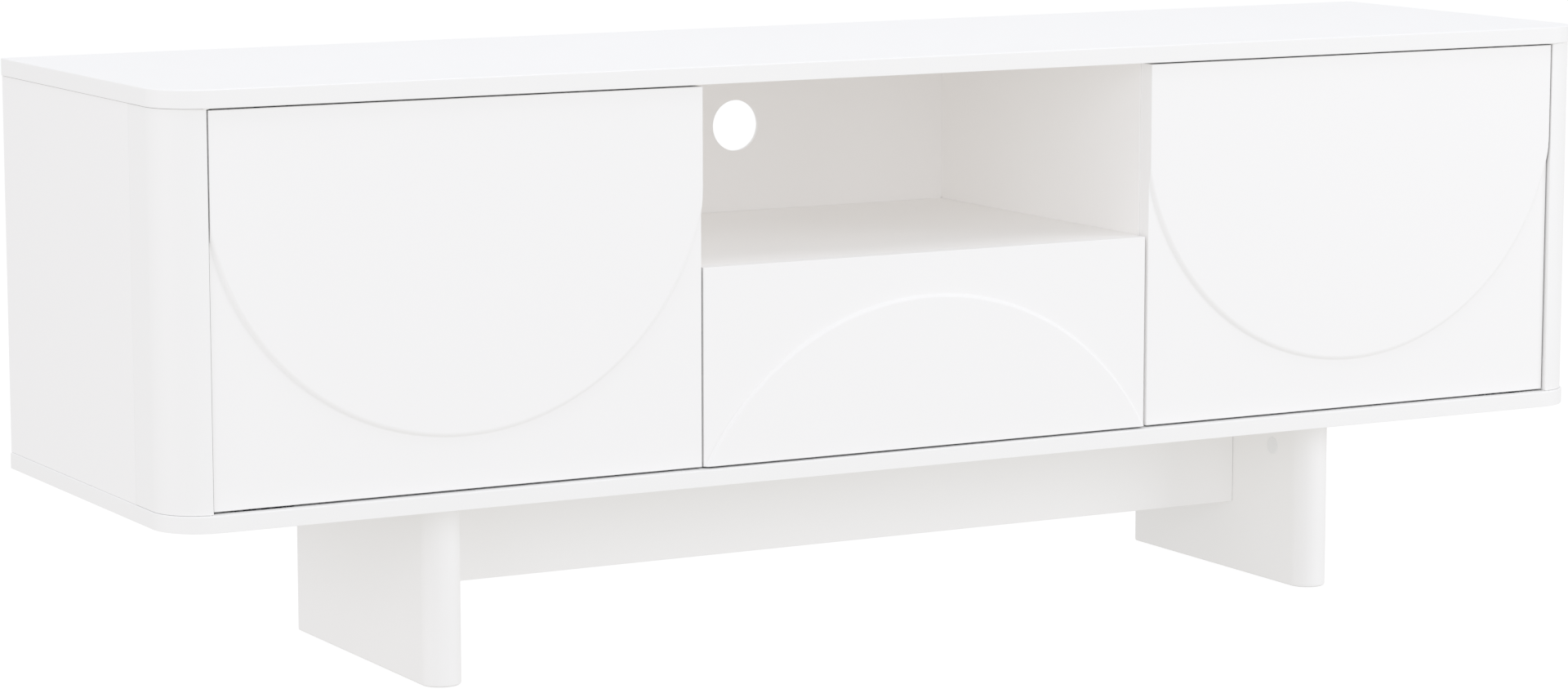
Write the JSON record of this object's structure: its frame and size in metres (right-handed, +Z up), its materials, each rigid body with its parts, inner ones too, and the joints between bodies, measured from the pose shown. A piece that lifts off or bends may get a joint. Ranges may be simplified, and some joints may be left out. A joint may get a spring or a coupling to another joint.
{
  "type": "tv stand with doors",
  "caption": "Long low TV stand in white lacquer: case on two blade legs, raised-disc doors at the ends, an open niche over a drawer in the middle.",
  "frame": {"origin": "on the floor under the middle of the case", "axes": "+X along the case to the right as seen from the front, the fronts face -Y, +Z up"},
  "size_m": [1.5, 0.4, 0.548],
  "materials": {
    "lacquered_board": "satin white lacquer on fibreboard",
    "interior_board": "matt white melamine-faced board",
    "thin_board": "matt white painted hardboard",
    "beech": "bare beech",
    "hardware_steel": "zinc-plated",
    "cam_zinc": "die-cast, white face",
    "latch_plastic": "satin",
    "cage_plastic": "matt",
    "felt": "pressed felt"
  },
  "bodies": {
    "carcass": {"top_panel": "lacquered_board", "bottom_panel": "lacquered_board", "back_panel": "thin_board", "niche_shelf": "lacquered_board", "right_corner_post": "lacquered_board", "left_corner_post": "lacquered_board", "right_side_panel": "lacquered_board", "left_side_panel": "lacquered_board", "right_divider": "lacquered_board", "left_divider": "lacquered_board", "right_shelf": "interior_board", "left_shelf": "interior_board", "case_tongues": "beech", "right_leg": "lacquered_board", "left_leg": "lacquered_board", "stretcher": "lacquered_board", "stretcher_tongues": "beech", "leg_cams": "cam_zinc", "leg_bolts": "hardware_steel", "leg_glides": "felt", "right_case_leaves": "hardware_steel", "left_case_leaves": "hardware_steel", "right_latch_housing": "latch_plastic", "left_latch_housing": "latch_plastic", "drawer_latch_housing": "latch_plastic", "runner_outer_members": "hardware_steel"},
    "right_door": {"right_door_panel": "lacquered_board", "right_door_leaves": "hardware_steel", "right_strike_plate": "hardware_steel"},
    "left_door": {"left_door_panel": "lacquered_board", "left_door_leaves": "hardware_steel", "left_strike_plate": "hardware_steel"},
    "drawer": {"drawer_front": "lacquered_board", "drawer_right_side": "interior_board", "drawer_left_side": "interior_board", "drawer_back": "interior_board", "drawer_bottom": "thin_board", "drawer_tongues": "beech", "drawer_strike_plate": "hardware_steel", "runner_inner_members": "hardware_steel"},
    "runner_middle_pair": {"runner_middle_members": "hardware_steel"},
    "runner_outer_cage_set": {"runner_outer_cages": "cage_plastic"},
    "runner_inner_cage_set": {"runner_inner_cages": "cage_plastic"},
    "right_plunger": {"right_latch_plunger": "latch_plastic"},
    "left_plunger": {"left_latch_plunger": "latch_plastic"},
    "drawer_plunger": {"drawer_latch_plunger": "latch_plastic"}
  },
  "joints": [
    {"name": "right_door_hinge", "type": "hinge", "parent": "carcass", "child": "right_door", "pos_m": [0.683, -0.1852, 0.3585], "axis": [0, 0, 1], "range_deg": [0, 105]},
    {"name": "left_door_hinge", "type": "hinge", "parent": "carcass", "child": "left_door", "pos_m": [-0.683, -0.1852, 0.3585], "axis": [0, 0, -1], "range_deg": [0, 105]},
    {"name": "drawer_slide", "type": "slide", "parent": "carcass", "child": "drawer", "axis": [0, -1, 0], "range_m": [0, 0.32]},
    {"name": "runner_middle_slide", "type": "slide", "parent": "carcass", "child": "runner_middle_pair", "axis": [0, -1, 0], "range_m": [0, 0.16]},
    {"name": "runner_outer_cage_slide", "type": "slide", "parent": "carcass", "child": "runner_outer_cage_set", "axis": [0, -1, 0], "range_m": [0, 0.08]},
    {"name": "runner_inner_cage_slide", "type": "slide", "parent": "carcass", "child": "runner_inner_cage_set", "axis": [0, -1, 0], "range_m": [0, 0.24]},
    {"name": "right_plunger_press", "type": "slide", "parent": "carcass", "child": "right_plunger", "axis": [0, 1, 0], "range_m": [0, 0.003], "stiffness_N_per_m": 400},
    {"name": "left_plunger_press", "type": "slide", "parent": "carcass", "child": "left_plunger", "axis": [0, 1, 0], "range_m": [0, 0.003], "stiffness_N_per_m": 400},
    {"name": "drawer_plunger_press", "type": "slide", "parent": "carcass", "child": "drawer_plunger", "axis": [0, 1, 0], "range_m": [0, 0.003], "stiffness_N_per_m": 400}
  ],
  "couplings": [
    {"joint": "runner_middle_slide", "follows": "drawer_slide", "ratio": 0.5},
    {"joint": "runner_outer_cage_slide", "follows": "drawer_slide", "ratio": 0.25},
    {"joint": "runner_inner_cage_slide", "follows": "drawer_slide", "ratio": 0.75}
  ]
}
